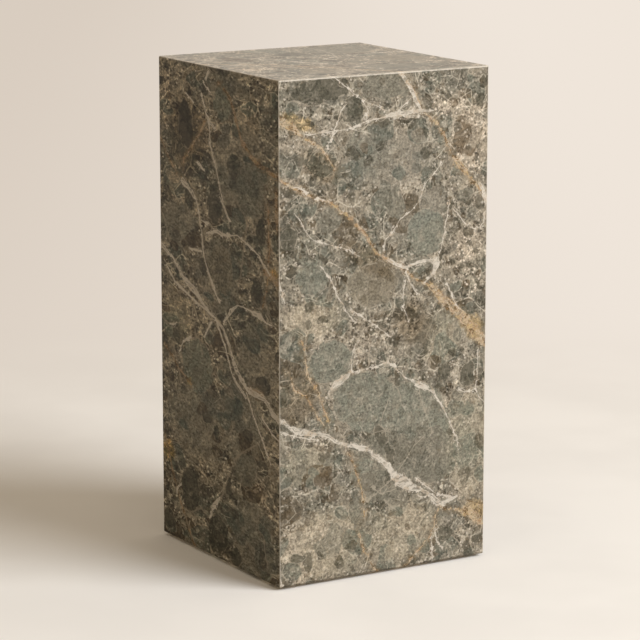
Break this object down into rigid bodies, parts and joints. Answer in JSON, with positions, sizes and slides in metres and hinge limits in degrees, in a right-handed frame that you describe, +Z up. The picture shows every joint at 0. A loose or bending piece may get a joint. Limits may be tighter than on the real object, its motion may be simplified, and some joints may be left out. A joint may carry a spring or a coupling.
{
  "type": "pedestal column stand",
  "caption": "Tall square display pedestal clad in mitred marble slabs over a timber frame, on small levelling feet hidden under its base.",
  "frame": {"origin": "on the floor, at the soles' undersides, under the column's centre", "axes": "+Z up along the column; the front slab faces -Y and the right slab faces +X"},
  "size_m": [0.36, 0.36, 0.75],
  "materials": {
    "marble": "honed, satin",
    "resin": "tinted epoxy",
    "adhesive": "matte",
    "softwood": "planed",
    "plywood": "sanded",
    "plated_steel": "zinc plated",
    "nylon": "moulded",
    "sole_rubber": "matte"
  },
  "bodies": {
    "column": {"front_slab": "marble", "right_slab": "marble", "back_slab": "marble", "left_slab": "marble", "top_slab": "marble", "mitre_resin": "resin", "front_adhesive": "adhesive", "right_adhesive": "adhesive", "back_adhesive": "adhesive", "left_adhesive": "adhesive", "top_adhesive": "adhesive", "base_board": "plywood", "top_board": "plywood", "front_left_post": "softwood", "front_right_post": "softwood", "back_right_post": "softwood", "back_left_post": "softwood", "front_rail": "softwood", "right_rail": "softwood", "back_rail": "softwood", "left_rail": "softwood", "base_board_screws": "plated_steel", "top_board_screws": "plated_steel", "rail_screws": "plated_steel", "tee_nuts": "plated_steel"},
    "front_left_foot": {"front_left_foot_disc": "nylon", "front_left_foot_sole": "sole_rubber"},
    "front_left_stem": {"front_left_foot_stem": "plated_steel"},
    "front_right_foot": {"front_right_foot_disc": "nylon", "front_right_foot_sole": "sole_rubber"},
    "front_right_stem": {"front_right_foot_stem": "plated_steel"},
    "back_right_foot": {"back_right_foot_disc": "nylon", "back_right_foot_sole": "sole_rubber"},
    "back_right_stem": {"back_right_foot_stem": "plated_steel"},
    "back_left_foot": {"back_left_foot_disc": "nylon", "back_left_foot_sole": "sole_rubber"},
    "back_left_stem": {"back_left_foot_stem": "plated_steel"}
  },
  "joints": [
    {"name": "front_left_foot_height", "type": "slide", "parent": "column", "child": "front_left_foot", "axis": [0, 0, -1], "range_m": [0, 0.008]},
    {"name": "front_left_stem_turn", "type": "hinge", "parent": "front_left_foot", "child": "front_left_stem", "pos_m": [-0.1, -0.1, 0.02], "axis": [0, 0, -1], "range_deg": [0, 2305]},
    {"name": "front_right_foot_height", "type": "slide", "parent": "column", "child": "front_right_foot", "axis": [0, 0, -1], "range_m": [0, 0.008]},
    {"name": "front_right_stem_turn", "type": "hinge", "parent": "front_right_foot", "child": "front_right_stem", "pos_m": [0.1, -0.1, 0.02], "axis": [0, 0, -1], "range_deg": [0, 2305]},
    {"name": "back_right_foot_height", "type": "slide", "parent": "column", "child": "back_right_foot", "axis": [0, 0, -1], "range_m": [0, 0.008]},
    {"name": "back_right_stem_turn", "type": "hinge", "parent": "back_right_foot", "child": "back_right_stem", "pos_m": [0.1, 0.1, 0.02], "axis": [0, 0, -1], "range_deg": [0, 2305]},
    {"name": "back_left_foot_height", "type": "slide", "parent": "column", "child": "back_left_foot", "axis": [0, 0, -1], "range_m": [0, 0.008]},
    {"name": "back_left_stem_turn", "type": "hinge", "parent": "back_left_foot", "child": "back_left_stem", "pos_m": [-0.1, 0.1, 0.02], "axis": [0, 0, -1], "range_deg": [0, 2305]}
  ],
  "couplings": [
    {"joint": "front_left_stem_turn", "follows": "front_left_foot_height", "rad_per_m": 5026.5},
    {"joint": "front_right_stem_turn", "follows": "front_right_foot_height", "rad_per_m": 5026.5},
    {"joint": "back_right_stem_turn", "follows": "back_right_foot_height", "rad_per_m": 5026.5},
    {"joint": "back_left_stem_turn", "follows": "back_left_foot_height", "rad_per_m": 5026.5}
  ]
}
